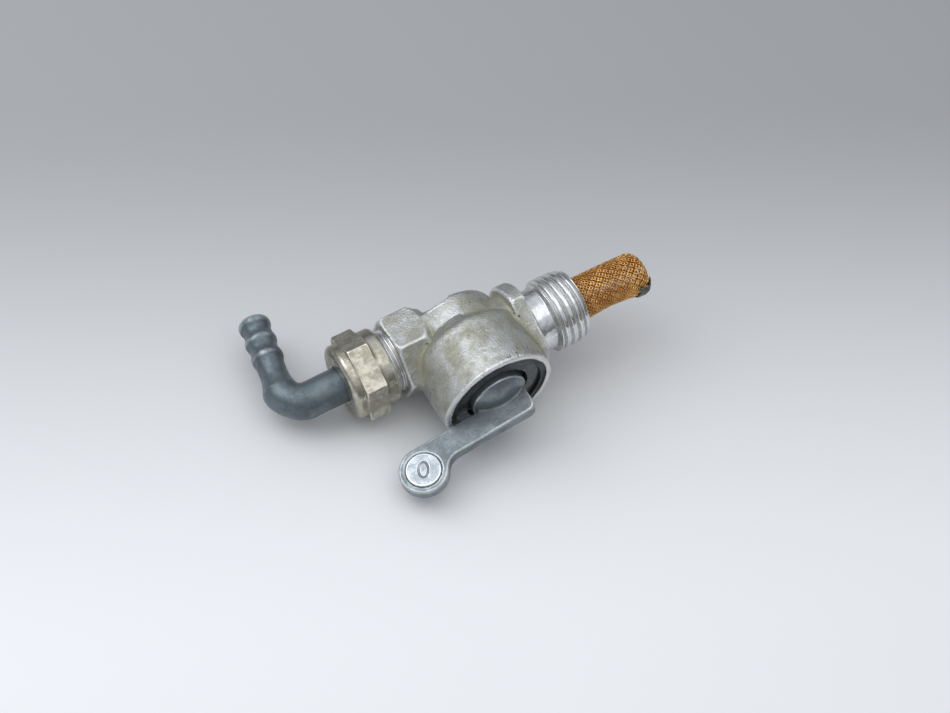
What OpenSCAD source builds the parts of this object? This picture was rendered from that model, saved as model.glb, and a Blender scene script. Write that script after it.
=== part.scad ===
// Small fuel tap for a threaded tank outlet: die-cast body with a flat paddle lever in front,
// a gauze strainer on the tank side and a swivelling barbed elbow on the hose side.
// Own axes: +X is the flow axis towards the tank, -Y is the lever side, +Z is up.
// The origin lies on the inlet axis, where the full inlet thread starts.

/* [Drum] */
// Outer radius of the drum that holds the valve
drum_r = 10.85; // [9.8:0.05:13]
// Length of the drum from its mouth to its rear shoulder
drum_depth = 12.5; // [11.5:0.1:15]
// Rounding of the drum's rear shoulder
shoulder_r = 2.2; // [0.5:0.1:3]
// Wall between the outside of the drum and its mouth
mouth_wall = 1.15; // [1:0.05:2]
// Depth of the valve chamber, from the mouth to its floor
chamber_depth = 5.8; // [5.6:0.1:6.4]
// Radius of the rear boss that carries the outlet channel
boss_r = 8.7; // [7.5:0.1:9.4]
// Distance from the mouth to the back of the rear boss
boss_back = 19.1; // [18.6:0.1:21]
// Rounding of the rear boss's edge
boss_edge_r = 1.8; // [0.5:0.1:2.5]

/* [Inlet] */
// Distance from the mouth back to the inlet axis
inlet_set_back = 10.7; // [9.5:0.1:11]
// Major radius of the inlet thread
inlet_thread_r = 7; // [6.4:0.05:8]
// Length of the full inlet thread
inlet_thread_len = 6.8; // [5:0.1:10]
// Radius of the plain neck behind the inlet thread
inlet_neck_r = 5.95; // [5.5:0.05:6.3]
// Length of the neck between the collar and the thread's run-out
inlet_neck_len = 2.4; // [1:0.1:5]
// Radius of the round inlet collar
inlet_collar_r = 8.7; // [8:0.1:9.5]
// Thickness of the inlet collar
inlet_collar_len = 3; // [2:0.1:4]
// Distance across the two spanner flats of the inlet collar
inlet_flats = 14; // [13:0.1:15.5]
// Turn of the spanner flats about the inlet axis, from the top towards the front
inlet_flats_turn = 30; // [0:1:60]
// Radius of the pocket that the strainer is pressed into
strainer_pocket_r = 4.6; // [4.4:0.05:5]
// Depth of the strainer pocket from the thread's end
strainer_pocket_depth = 8; // [6:0.1:9]

/* [Outlet] */
// Distance from the mouth back to the outlet axis
outlet_set_back = 16.5; // [15.6:0.1:17]
// Distance across the flats of the cast outlet hexagon
outlet_hex = 14; // [13:0.1:15.5]
// Turn of the cast hexagon's corner about the outlet axis, from the top towards the front
outlet_hex_turn = 22; // [0:1:59]
// Distance from the drum axis to the end of the cast hexagon
outlet_hex_reach = 13.1; // [12:0.1:15]
// Length of the cast hexagon, most of it beside the drum and boss
outlet_hex_len = 8.1; // [6:0.1:9]
// Major radius of the outlet thread
outlet_thread_r = 5.9; // [5.6:0.05:6.05]
// Length of the outlet thread
outlet_thread_len = 4.5; // [4:0.1:8]

/* [Flow channels] */
// Radius of the drilled channels in the body
channel_r = 1.75; // [1:0.05:2]
// Radius of the two ports in the chamber floor
port_r = 1.6; // [1:0.05:2]
// Distance of the ports from the drum axis
port_offset = 5; // [4:0.1:6]

/* [Valve] */
// Thickness of the rubber seal disc
seal_thick = 1.5; // [1.2:0.05:1.8]
// Thickness of the rotor flange that turns on the seal
rotor_thick = 1.5; // [1.3:0.05:1.6]
// Depth of the transfer slot in the rotor's rear face
slot_depth = 0.8; // [0.4:0.05:1]
// Thickness of the cover plate
cover_thick = 0.8; // [0.5:0.05:1]
// Gap around the lever head in the cover plate
cover_gap = 0.85; // [0.65:0.05:1.2]
// Thickness of the retaining ring's wire section along the drum axis
ring_thick = 0.5; // [0.4:0.05:0.6]
// Width of the retaining ring in the radial direction
ring_w = 1.4; // [1:0.05:1.6]
// Depth of the retaining ring's groove into the drum wall
groove_depth = 0.45; // [0.3:0.05:0.6]
// Lip left in front of the retaining ring's groove
lip_thick = 0.3; // [0.2:0.05:0.4]
// Opening angle of the retaining ring
ring_gap_angle = 24; // [10:1:60]
// Number of waves of the spring washer
wave_count = 3; // [2:1:5]
// Sheet thickness of the spring washer
wave_sheet = 0.3; // [0.2:0.05:0.4]

/* [Lever] */
// Turn of the lever below the flow axis as it lies, in degrees
lever_turn = 8; // [-80:1:95]
// Radius of the lever's round head
head_r = 5.4; // [5:0.05:5.7]
// Height of the head's dome in front of its rim
dome_height = 1.9; // [0.8:0.1:3]
// Distance from the drum axis to the middle of the lever's knob
lever_reach = 18.5; // [16:0.1:30]
// Radius of the lever's knob
knob_r = 4.5; // [3.8:0.1:6]
// Thickness of the arm
arm_thick = 2.9; // [2:0.1:4]
// Thickness of the knob
knob_thick = 2.5; // [1.9:0.1:3.5]
// Height of the arm's upper face above the drum axis
arm_above = 0.6; // [-1:0.1:1.5]
// Width of the arm along the drum axis
arm_w = 4.95; // [3.5:0.05:7]
// Arm's overhang beyond the drum axis, away from the knob
arm_tail = 4.6; // [3:0.1:5]
// Running gap between the arm and the drum's mouth
arm_gap = 0.5; // [0.3:0.05:1]
// Radius of the hollow between arm and knob
arm_hollow_r = 3; // [1:0.1:4]
// Edge rounding of the lever casting
lever_edge = 0.35; // [0.1:0.05:0.5]
// Radius of the bright disc set in the knob
disc_r = 3.25; // [2:0.05:3.5]
// Depth of the recess that holds the disc
disc_depth = 0.8; // [0.4:0.1:1.2]
// Height of the disc above the knob's face
disc_proud = 0.12; // [0:0.01:0.3]

/* [Union nut] */
// Distance across the nut's flats
nut_flats = 14.4; // [13.6:0.1:17]
// Turn of the nut's corner about the outlet axis, from the top towards the front
nut_turn = 54; // [0:1:59]
// Length of the nut's hexagon
nut_hex_len = 4.1; // [3:0.1:6]
// Length of the round collar on the body side
nut_collar_len = 1.5; // [0.5:0.1:3]
// Length of the rounded shoulder on the hose side
nut_shoulder_len = 3.3; // [2.5:0.1:5]
// Radius of the nut's round collar and shoulder
nut_round_r = 7.15; // [6.8:0.05:7.6]
// Rounding of the shoulder's outer edge
nut_shoulder_r = 1.7; // [0.5:0.1:2.2]
// Gap between the nut and the cast hexagon, where thread shows
nut_stand_off = 1.3; // [0.8:0.1:3]

/* [Elbow] */
// Outer radius of the elbow's tube
tube_r = 3.4; // [3:0.05:3.6]
// Distance from the drum axis to where the hose arm's axis meets the outlet axis
elbow_reach = 33.7; // [31:0.1:45]
// Distance from the outlet axis to the hose arm's tip
hose_arm_len = 20; // [16:0.1:30]
// Rise of the hose arm above the horizontal, pointing to the rear
hose_arm_rise = 0; // [-90:1:90]
// Lean of the hose arm back towards the body, beyond a right angle
hose_arm_lean = 8; // [0:1:15]
// Radius of the hose arm between its beads
hose_arm_r = 2.6; // [2.3:0.05:2.8]
// Height of the beads above the hose arm
bead_height = 0.45; // [0.2:0.05:0.7]
// Number of beads on the hose arm
bead_count = 3; // [1:1:4]
// Spacing of the beads
bead_pitch = 3.65; // [2.5:0.05:4]
// Radius of the elbow's bore
elbow_bore_r = 1.6; // [1:0.05:2]
// Thickness of the elbow's clamping flange inside the nut
elbow_flange = 1.8; // [1:0.1:2.2]
// Thickness of the sealing washer in front of the flange
gasket_thick = 0.8; // [0.5:0.1:1.5]

/* [Strainer] */
// Outer radius of the gauze tube
gauze_r = 4.2; // [3.9:0.05:4.4]
// Wall thickness of the gauze in its valleys
gauze_wall = 0.35; // [0.25:0.05:0.5]
// Height of the woven ridges
ridge_height = 0.15; // [0.1:0.01:0.25]
// Length of the gauze in front of the thread's end
gauze_reach = 15.4; // [8:0.1:30]
// Spacing of the woven ridges
ridge_pitch = 1.25; // [1:0.05:2]
// Number of gaps around the gauze in each row
gaps_around = 12; // [6:1:16]
// Width of a gap
gap_w = 0.5; // [0.3:0.05:0.6]
// Thickness of the solder on the gauze's end
solder_thick = 0.25; // [0.1:0.05:0.5]

/* [Fits] */
// Clearance of pressed and seated pieces
seat_gap = 0.05; // [0.02:0.01:0.1]
// Clearance of the turning pieces in the drum
running_gap = 0.3; // [0.2:0.05:0.5]

/* [Hidden] */
$fn = 72;
overcut = 1;

// Places along the flow axis, from the drum axis
collar_sink = 1.95;
collar_start = drum_r - collar_sink;
neck_start = collar_start + inlet_collar_len;
run_out = inlet_thread_r - inlet_neck_r;
thread_start = neck_start + inlet_neck_len + run_out / 2;
thread_stop = thread_start + inlet_thread_len;
thread_nose = 0.5;
inlet_end = thread_stop + thread_nose;
pocket_floor = inlet_end - strainer_pocket_depth;
hex_start = outlet_hex_reach - outlet_hex_len;
stub_end = outlet_hex_reach + outlet_thread_len;
nut_start = outlet_hex_reach + nut_stand_off;
nut_hex_start = nut_start + nut_collar_len;
nut_shoulder_start = nut_hex_start + nut_hex_len;
nut_end = nut_shoulder_start + nut_shoulder_len;
flange_start = stub_end + gasket_thick;
flange_end = flange_start + elbow_flange;

// Places along the drum axis, from the mouth
mouth_r = drum_r - mouth_wall;
groove_start = lip_thick;
cover_start = lip_thick + ring_thick + seat_gap;
cover_end = cover_start + cover_thick;
seal_start = chamber_depth - seal_thick;
rotor_start = seal_start - rotor_thick;
rotor_r = mouth_r - running_gap;
head_rim = 0.1;
cover_hole_r = head_r + cover_gap;

// Smaller shapes
corner_factor = 1 / cos(30);
edge = 0.3;
shoulder_fillet_r = 0.9;
hex_chamfer = 1.1;
tail_r = 1.4;
knob_y = arm_gap + knob_r;
bend_r = tube_r + 0.25;
elbow_flange_r = outlet_thread_r - 0.4;
elbow_turn = 90 + hose_arm_lean;
bend_cut = bend_r * tan(elbow_turn / 2);
arm_straight = hose_arm_len - bend_cut;
first_bead = 1.2;
arm_lap = 0.2;
lap_step = 0.05;
bead_half = 1.6;
gauze_inner_r = gauze_r - ridge_height - gauze_wall;
gauze_valley_r = gauze_r - ridge_height;
gauze_end = inlet_end + gauze_reach;
gauze_dome = 2.2;
ridge_clear = 0.08;
dome_start = gauze_end - gauze_dome;
gap_rows = min(floor(120 / gaps_around), floor((gauze_reach - gauze_dome) / ridge_pitch) - 1);
first_ridge = dome_start - (gap_rows + 0.6) * ridge_pitch;
solder_from = 255;
solder_angle = 75;
ferrule_len = 3;
ferrule_shoulder = pocket_floor + ferrule_len;
ferrule_nose = 3;
ferrule_wall = 0.6;
ferrule_bore_r = gauze_inner_r - ferrule_wall;

// Points of an arc from angle a0 to angle a1 about a centre
function arc(cx, cy, r, a0, a1, n = 6) =
    [for (i = [0:n]) [cx + r * cos(a0 + (a1 - a0) * i / n), cy + r * sin(a0 + (a1 - a0) * i / n)]];

// Moves the tap from the drum's own place to the inlet thread's
module placed() {
    translate([-thread_start, -inlet_set_back, 0]) children();
}

// Stands a shape's own Z axis along the drum axis, pointing to the rear
module along_drum() {
    rotate([-90, 0, 0]) children();
}

// Lays a shape's own Z axis along the inlet axis, pointing to the tank
module along_inlet() {
    translate([0, inlet_set_back, 0]) rotate([0, 90, 0]) children();
}

// Lays a shape's own Z axis along the outlet axis, pointing to the hose
module along_outlet() {
    translate([0, outlet_set_back, 0]) rotate([0, -90, 0]) children();
}

// Round bar with a start, an end and a radius
module bar(start, end, r) {
    translate([0, 0, start]) cylinder(h = end - start, r = r);
}

// Ring with a start, an end and two radii
module ring(start, end, outer, inner) {
    difference() {
        bar(start, end, outer);
        bar(start - overcut, end + overcut, inner);
    }
}

// Hexagonal bar by its distance across flats, with both ends turned to a chamfer
module hex_bar(start, end, flats, chamfer_start, chamfer_end) {
    corner_r = flats / 2 * corner_factor;
    intersection() {
        translate([0, 0, start]) cylinder(h = end - start, r = corner_r, $fn = 6);
        rotate_extrude()
            polygon([[0, start], [corner_r - chamfer_start, start],
                     [corner_r, start + chamfer_start * 0.6], [corner_r, end - chamfer_end * 0.6],
                     [corner_r - chamfer_end, end], [0, end]]);
    }
}

// Drum and rear boss, turned about the drum axis
module drum_blank() {
    along_drum() rotate_extrude()
        polygon(concat([[0, 0], [drum_r - edge, 0], [drum_r, edge]],
            arc(drum_r - shoulder_r, drum_depth - shoulder_r, shoulder_r, 0, 90),
            arc(boss_r + shoulder_fillet_r, drum_depth + shoulder_fillet_r,
                shoulder_fillet_r, 270, 180),
            arc(boss_r - boss_edge_r, boss_back - boss_edge_r, boss_edge_r, 0, 90),
            [[0, boss_back]]));
}

// Inlet side: root, collar with two spanner flats, neck and the plain thread cylinder
module inlet_blank() {
    root_r = inlet_flats / 2;
    along_inlet() {
        bar(0, collar_start + edge, root_r);
        difference() {
            rotate_extrude()
                polygon([[0, collar_start], [inlet_collar_r - edge, collar_start],
                         [inlet_collar_r, collar_start + edge], [inlet_collar_r, neck_start - edge],
                         [inlet_collar_r - edge, neck_start], [0, neck_start]]);
            rotate([0, 0, inlet_flats_turn]) for (side = [-1, 1])
                translate([side * (inlet_flats / 2 + inlet_collar_r) - inlet_collar_r,
                           -inlet_collar_r, collar_start - overcut])
                    cube([2 * inlet_collar_r, 2 * inlet_collar_r, inlet_collar_len + 2 * overcut]);
        }
        rotate_extrude()
            polygon([[0, neck_start - edge], [inlet_neck_r + edge, neck_start - edge],
                     [inlet_neck_r + edge, neck_start], [inlet_neck_r, neck_start + edge],
                     [inlet_neck_r, thread_start - run_out], [inlet_thread_r, thread_start],
                     [inlet_thread_r, thread_stop], [inlet_thread_r - thread_nose, inlet_end],
                     [0, inlet_end]]);
    }
}

// Outlet side: cast hexagon that runs into the boss, and the threaded stub
module outlet_blank() {
    along_outlet() {
        rotate([0, 0, -outlet_hex_turn])
            hex_bar(hex_start, outlet_hex_reach, outlet_hex, hex_chamfer, hex_chamfer);
        rotate_extrude()
            polygon([[0, hex_start + edge], [outlet_thread_r, hex_start + edge],
                     [outlet_thread_r, stub_end - edge], [outlet_thread_r - edge, stub_end],
                     [0, stub_end]]);
    }
}

// Valve chamber, ring groove, ports and channels
module body_bores() {
    along_drum() {
        bar(-overcut, chamber_depth, mouth_r);
        bar(groove_start, groove_start + ring_thick + seat_gap, mouth_r + groove_depth);
        translate([port_offset, 0, 0]) bar(chamber_depth - overcut, inlet_set_back, port_r);
        translate([-port_offset, 0, 0]) bar(chamber_depth - overcut, outlet_set_back, port_r);
    }
    along_inlet() {
        bar(port_offset, pocket_floor + overcut, channel_r);
        bar(pocket_floor, inlet_end + overcut, strainer_pocket_r);
    }
    along_outlet() bar(port_offset, stub_end + overcut, channel_r);
}

// Die-cast body with everything that is cast and turned in one piece
module tap_body() {
    color([0.72, 0.71, 0.66]) placed() difference() {
        union() {
            drum_blank();
            inlet_blank();
            outlet_blank();
        }
        body_bores();
    }
}

// Rubber disc on the chamber floor, with two holes for the ports and two that balance them
module seal_disc() {
    color([0.12, 0.12, 0.12]) placed() along_drum() difference() {
        bar(seal_start, chamber_depth, mouth_r - seat_gap);
        for (turn = [0:90:270]) rotate([0, 0, turn]) translate([port_offset, 0, 0])
            bar(seal_start - overcut, chamber_depth + overcut, port_r);
    }
}

// Lever's own frame: X runs to the knob, Y to the front and Z up
module at_lever() {
    placed() rotate([0, -lever_turn, 0]) rotate([0, 0, 180]) children();
}

// Outline of the arm and knob in the lever's plane, with a hollow where they meet
module lever_outline() {
    front = arm_gap + arm_w;
    hollow_y = front + arm_hollow_r;
    hollow_x = lever_reach - sqrt(pow(knob_r + arm_hollow_r, 2) - pow(hollow_y - knob_y, 2));
    touch = atan2(hollow_y - knob_y, hollow_x - lever_reach);
    polygon(concat([[edge - arm_tail, arm_gap], [lever_reach, arm_gap]],
        arc(lever_reach, knob_y, knob_r, -90, touch, 24),
        arc(hollow_x, hollow_y, arm_hollow_r, touch - 180, -90, 6),
        arc(tail_r - arm_tail, front - tail_r, tail_r, 90, 180, 4),
        [[-arm_tail, arm_gap + edge]]));
}

// Paddle: flat above, tapering in thickness from the drum axis to the knob, edges rounded over
module lever_paddle() {
    taper = atan2(arm_thick - knob_thick, lever_reach);
    minkowski() {
        difference() {
            translate([0, 0, arm_above - arm_thick]) linear_extrude(arm_thick - lever_edge)
                offset(delta = -lever_edge) lever_outline();
            translate([0, 0, arm_above - arm_thick + lever_edge]) rotate([0, -taper, 0])
                translate([-2 * arm_tail, -overcut, -2 * arm_thick])
                    cube([2 * lever_reach, 4 * knob_r, 2 * arm_thick]);
        }
        sphere(r = lever_edge, $fn = 10);
    }
}

// Domed head, spindle and rotor flange, turned about the drum axis
module lever_spindle() {
    sphere_r = (head_r * head_r + dome_height * dome_height) / (2 * dome_height);
    half_angle = asin(head_r / sphere_r);
    rotate([-90, 0, 0]) rotate_extrude()
        polygon(concat([[0, -seal_start], [rotor_r, -seal_start], [rotor_r, -rotor_start],
                        [head_r, -rotor_start]],
            arc(0, dome_height - head_rim - sphere_r, sphere_r, 90 - half_angle, 90, 10)));
}

// Slot across the rotor's rear face that joins the two ports when the lever is crosswise
module transfer_slot() {
    for (side = [-1, 1]) translate([0, 0, side * port_offset]) rotate([-90, 0, 0])
        bar(-seal_start - overcut, slot_depth - seal_start, port_r);
    translate([-port_r, -seal_start - overcut, -port_offset])
        cube([2 * port_r, slot_depth + overcut, 2 * port_offset]);
}

// Lever casting: paddle with knob, domed head, spindle and the rotor that turns on the seal
module lever() {
    color([0.50, 0.53, 0.54]) at_lever() difference() {
        union() {
            lever_paddle();
            lever_spindle();
        }
        translate([lever_reach, knob_y, arm_above - disc_depth])
            cylinder(h = disc_depth + overcut, r = disc_r + seat_gap);
        transfer_slot();
    }
}

// Bright disc pressed into the knob's upper face
module lever_disc() {
    color([0.82, 0.84, 0.86]) at_lever() translate([lever_reach, knob_y, arm_above])
        rotate_extrude()
            polygon([[0, -disc_depth], [disc_r, -disc_depth], [disc_r, 0],
                     [disc_r - disc_proud, disc_proud], [0, disc_proud]]);
}

// Wavy spring sheet that presses the rotor on the seal
module spring_washer() {
    steps = 16 * wave_count;
    middle = (cover_end + rotor_start) / 2;
    swing = (rotor_start - cover_end - wave_sheet) / 2 - seat_gap;
    inner = head_r + 2 * running_gap;
    outer = mouth_r - 2 * running_gap;
    section = [[inner, -wave_sheet / 2], [outer, -wave_sheet / 2],
               [outer, wave_sheet / 2], [inner, wave_sheet / 2]];
    points = [for (i = [0:steps - 1], q = section) let (a = 360 * i / steps)
              [q[0] * cos(a), q[0] * sin(a), middle + swing * cos(wave_count * a) + q[1]]];
    faces = [for (i = [0:steps - 1], k = [0:3])
             let (a = 4 * i, b = 4 * ((i + 1) % steps), n = (k + 1) % 4)
             each [[a + k, b + k, b + n], [a + k, b + n, a + n]]];
    color([0.45, 0.46, 0.48]) placed() along_drum() polyhedron(points, faces);
}

// Flat ring that closes the drum round the lever's head
module cover_plate() {
    color([0.22, 0.24, 0.23]) placed() along_drum()
        ring(cover_start, cover_end, mouth_r - seat_gap, cover_hole_r);
}

// Open spring ring in the drum's groove, in front of the cover plate
module retaining_ring() {
    outer = mouth_r + groove_depth - seat_gap;
    reach = 2 * drum_r;
    half_gap = reach * tan(ring_gap_angle / 2);
    color([0.18, 0.18, 0.18]) placed() along_drum() difference() {
        ring(groove_start, groove_start + ring_thick, outer, outer - ring_w);
        linear_extrude(cover_end) polygon([[0, 0], [half_gap, reach], [-half_gap, reach]]);
    }
}

// Nut that clamps the elbow on the outlet stub
module union_nut() {
    color([0.70, 0.67, 0.59]) placed() along_outlet() difference() {
        union() {
            rotate([0, 0, -nut_turn])
                hex_bar(nut_hex_start, nut_shoulder_start, nut_flats, edge, edge);
            rotate_extrude()
                polygon(concat([[0, nut_start], [nut_round_r - edge, nut_start],
                                [nut_round_r, nut_start + edge]],
                    arc(nut_round_r - nut_shoulder_r, nut_end - nut_shoulder_r,
                        nut_shoulder_r, 0, 90),
                    [[0, nut_end]]));
        }
        bar(nut_start - overcut, flange_end + seat_gap, outlet_thread_r + seat_gap);
        bar(nut_start, nut_end + overcut, tube_r + 2 * seat_gap);
    }
}

// Sealing washer between the outlet stub and the elbow
module elbow_gasket() {
    color([0.35, 0.25, 0.18]) placed() along_outlet()
        ring(stub_end, flange_start, elbow_flange_r, elbow_bore_r + edge);
}

// Radius of the hose arm at a distance s from its tip
function hose_arm_profile(s) =
    hose_arm_r + bead_height * max([for (i = [0:bead_count - 1])
        let (d = abs(s - first_bead - i * bead_pitch) / bead_half)
        d < 1 ? (1 + cos(180 * d)) / 2 : 0])
    + (tube_r - lap_step - hose_arm_r) * pow(max(0, 1 - (arm_straight - s) / bend_r), 2);

// Turned hose arm from the bend to its rounded tip, along its own Z axis
module hose_arm() {
    steps = 28;
    tip = 0.8;
    rotate_extrude()
        polygon(concat([[0, -arm_lap], [tube_r - lap_step, -arm_lap]],
            [for (i = [0:steps]) let (s = arm_straight + (tip - arm_straight) * i / steps)
             [hose_arm_profile(s), arm_straight - s]],
            arc(hose_arm_profile(tip) - tip, arm_straight - tip, tip, 15, 75, 4),
            [[hose_arm_profile(tip) - tip, arm_straight], [0, arm_straight]]));
}

// Bend of a round bar, from the outlet axis into the hose arm
module tight_bend(r) {
    translate([bend_r, 0, elbow_reach - bend_cut]) rotate([90, 0, 0])
        rotate([0, 0, 180 - elbow_turn]) rotate_extrude(angle = elbow_turn)
            translate([bend_r, 0]) circle(r = r);
}

// Stands a shape's own Z axis along the hose arm, from the end of the bend
module along_hose_arm() {
    translate([0, 0, elbow_reach]) rotate([0, elbow_turn, 0]) translate([0, 0, bend_cut]) children();
}

// Barbed elbow: clamping flange, tube, tight bend and hose arm, bored through. The
// straight pieces reach a little into the bend, and are slimmer there by lap_step.
module outlet_elbow() {
    color([0.37, 0.42, 0.43]) placed() along_outlet() rotate([0, 0, 90 - hose_arm_rise])
        difference() {
            union() {
                bar(flange_start, flange_end, elbow_flange_r);
                bar(flange_start, elbow_reach - bend_cut + arm_lap, tube_r - lap_step);
                tight_bend(tube_r);
                along_hose_arm() hose_arm();
            }
            bar(flange_start - overcut, elbow_reach - bend_cut + arm_lap, elbow_bore_r - lap_step);
            tight_bend(elbow_bore_r);
            along_hose_arm() bar(-arm_lap, arm_straight + overcut, elbow_bore_r - lap_step);
        }
}

// Pressed ring that carries the gauze on its nose
module strainer_ferrule() {
    color([0.72, 0.58, 0.30]) placed() along_inlet() difference() {
        union() {
            bar(pocket_floor, ferrule_shoulder, strainer_pocket_r - seat_gap);
            bar(pocket_floor, ferrule_shoulder + ferrule_nose, gauze_inner_r - seat_gap);
        }
        bar(pocket_floor - overcut, ferrule_shoulder + ferrule_nose + overcut, ferrule_bore_r);
    }
}

// Half of the gauze's turned section: ridges of woven wire, then the closed end
module gauze_section() {
    half_ridge = (ridge_pitch - gap_w) / 2 - ridge_clear;
    polygon(concat([[gauze_inner_r, ferrule_shoulder], [gauze_valley_r, ferrule_shoulder]],
        [for (i = [0:gap_rows]) let (z = first_ridge + i * ridge_pitch)
         each [[gauze_valley_r, z - half_ridge], [gauze_r, z - half_ridge / 3],
               [gauze_r, z + half_ridge / 3], [gauze_valley_r, z + half_ridge]]],
        [for (a = [0:15:90]) [gauze_valley_r * cos(a), dome_start + gauze_dome * sin(a)]],
        [for (a = [90:-15:0]) [gauze_inner_r * cos(a),
                               dome_start + (gauze_dome - gauze_wall) * sin(a)]]));
}

// Woven gauze tube with a closed round end: ridges of wire with rows of open gaps between them
module strainer_gauze() {
    color([0.72, 0.47, 0.20]) placed() along_inlet() difference() {
        rotate_extrude() gauze_section();
        for (row = [0:gap_rows - 1], i = [0:gaps_around - 1])
            rotate([0, 0, 360 * (i + 0.25 + (row % 2) / 2) / gaps_around])
                translate([gauze_inner_r - gap_w, 0, first_ridge + (row + 0.5) * ridge_pitch])
                    rotate([0, 90, 0]) cylinder(h = gauze_wall + 2 * gap_w, r = gap_w / 2, $fn = 4);
    }
}

// Smear of solder on the front of the gauze's closed end
module strainer_solder() {
    inner = gauze_r + seat_gap;
    outer = inner + solder_thick;
    first = dome_start - gauze_r / 3;
    color([0.34, 0.34, 0.30]) placed() along_inlet() rotate([0, 0, solder_from])
        rotate_extrude(angle = solder_angle)
            polygon(concat([[inner, first], [outer, first]],
                [for (a = [0:15:60]) [outer * cos(a), dome_start + (gauze_dome + solder_thick) * sin(a)]],
                [for (a = [60:-15:0]) [inner * cos(a), dome_start + (gauze_dome + seat_gap) * sin(a)]]));
}

tap_body();
seal_disc();
lever();
lever_disc();
spring_washer();
cover_plate();
retaining_ring();
union_nut();
elbow_gasket();
outlet_elbow();
strainer_ferrule();
strainer_gauze();
strainer_solder();
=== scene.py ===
import math

import bmesh
import bpy
import numpy as np
from mathutils import Matrix, Vector, noise


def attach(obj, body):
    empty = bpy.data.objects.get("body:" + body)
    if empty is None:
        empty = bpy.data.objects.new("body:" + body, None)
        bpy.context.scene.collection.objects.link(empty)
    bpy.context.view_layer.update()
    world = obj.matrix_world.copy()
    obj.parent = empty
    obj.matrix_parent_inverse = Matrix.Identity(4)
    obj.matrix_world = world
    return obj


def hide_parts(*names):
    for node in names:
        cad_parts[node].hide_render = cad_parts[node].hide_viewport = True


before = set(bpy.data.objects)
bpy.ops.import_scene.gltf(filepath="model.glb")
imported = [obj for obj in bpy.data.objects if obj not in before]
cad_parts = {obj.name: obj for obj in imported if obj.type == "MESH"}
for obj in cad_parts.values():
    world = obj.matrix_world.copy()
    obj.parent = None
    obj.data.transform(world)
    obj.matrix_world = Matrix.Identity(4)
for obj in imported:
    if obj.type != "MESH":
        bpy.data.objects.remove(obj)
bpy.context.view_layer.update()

# Everything below is worked out in millimetres in the part's own frame and scaled to metres at the end
toMetres = 0.001
drumX = -14.825  # the drum's axis runs along Y here
inletAxis = Vector((1, 0, 0))
outletY = 5.8  # the outlet axis lies behind the inlet axis by this much


def smoothStep(low, high, value):
    t = np.clip((value - low) / (high - low), 0, 1)
    return t * t * (3 - 2 * t)


# shader groups
def makeGroup(name, inputs, outputs):
    group = bpy.data.node_groups.new(name, "ShaderNodeTree")
    for label, kind, value in inputs:
        socket = group.interface.new_socket(label, in_out="INPUT", socket_type="NodeSocket" + kind)
        socket.default_value = value
    for label, kind in outputs:
        group.interface.new_socket(label, in_out="OUTPUT", socket_type="NodeSocket" + kind)
    return group, group.nodes.new("NodeGroupInput"), group.nodes.new("NodeGroupOutput")


def addNode(tree, kind, **settings):
    node = tree.nodes.new("ShaderNode" + kind)
    for label, value in settings.items():
        setattr(node, label, value)
    return node


def noiseNode(tree, vector, scale, detail=3.0, roughness=0.55, distortion=0.0):
    node = addNode(tree, "TexNoise")
    node.inputs["Detail"].default_value = detail
    node.inputs["Roughness"].default_value = roughness
    node.inputs["Distortion"].default_value = distortion
    tree.links.new(vector, node.inputs["Vector"])
    if isinstance(scale, (int, float)):
        node.inputs["Scale"].default_value = scale
    else:
        tree.links.new(scale, node.inputs["Scale"])
    return node.outputs["Fac"]


def rangeNode(tree, value, fromLow, fromHigh, toLow=0.0, toHigh=1.0):
    node = addNode(tree, "MapRange", interpolation_type="SMOOTHSTEP")
    for label, number in (("From Min", fromLow), ("From Max", fromHigh),
                          ("To Min", toLow), ("To Max", toHigh)):
        node.inputs[label].default_value = number
    tree.links.new(value, node.inputs["Value"])
    return node.outputs["Result"]


def mathNode(tree, operation, first, second, clamp=False):
    node = addNode(tree, "Math", operation=operation, use_clamp=clamp)
    for slot, value in enumerate((first, second)):
        if isinstance(value, (int, float)):
            node.inputs[slot].default_value = value
        else:
            tree.links.new(value, node.inputs[slot])
    return node.outputs[0]


def mixColour(tree, mask, first, second):
    node = addNode(tree, "Mix", data_type="RGBA")
    for slot, value in ((0, mask), (6, first), (7, second)):
        if isinstance(value, tuple):
            node.inputs[slot].default_value = (*value, 1)
        elif isinstance(value, (int, float)):
            node.inputs[slot].default_value = value
        else:
            tree.links.new(value, node.inputs[slot])
    return node.outputs[2]


# Cast skin: a fine sandy grain with sparse round pits, as a height and a pit mask
castSkin, skinIn, skinOut = makeGroup(
    "Cast skin",
    [("Vector", "Vector", (0, 0, 0)), ("Grain size", "Float", 2600), ("Pit size", "Float", 420),
     ("Pit share", "Float", 0.3)],
    [("Height", "Float"), ("Pits", "Float")])
fineGrain = noiseNode(castSkin, skinIn.outputs["Vector"], skinIn.outputs["Grain size"], 4.0, 0.65)
pitCells = addNode(castSkin, "TexVoronoi", feature="F1")
castSkin.links.new(skinIn.outputs["Vector"], pitCells.inputs["Vector"])
castSkin.links.new(skinIn.outputs["Pit size"], pitCells.inputs["Scale"])
pitDots = rangeNode(castSkin, pitCells.outputs["Distance"], 0.12, 0.34, 1.0, 0.0)
pitZones = noiseNode(castSkin, skinIn.outputs["Vector"], 170.0, 2.0)
pitLimit = mathNode(castSkin, "SUBTRACT", pitZones,
                    mathNode(castSkin, "SUBTRACT", 0.82, skinIn.outputs["Pit share"]))
pits = mathNode(castSkin, "MULTIPLY", pitDots, rangeNode(castSkin, pitLimit, 0.0, 0.12))
skinHeight = mathNode(castSkin, "SUBTRACT", fineGrain, mathNode(castSkin, "MULTIPLY", pits, 0.9))
castSkin.links.new(skinHeight, skinOut.inputs["Height"])
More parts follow.
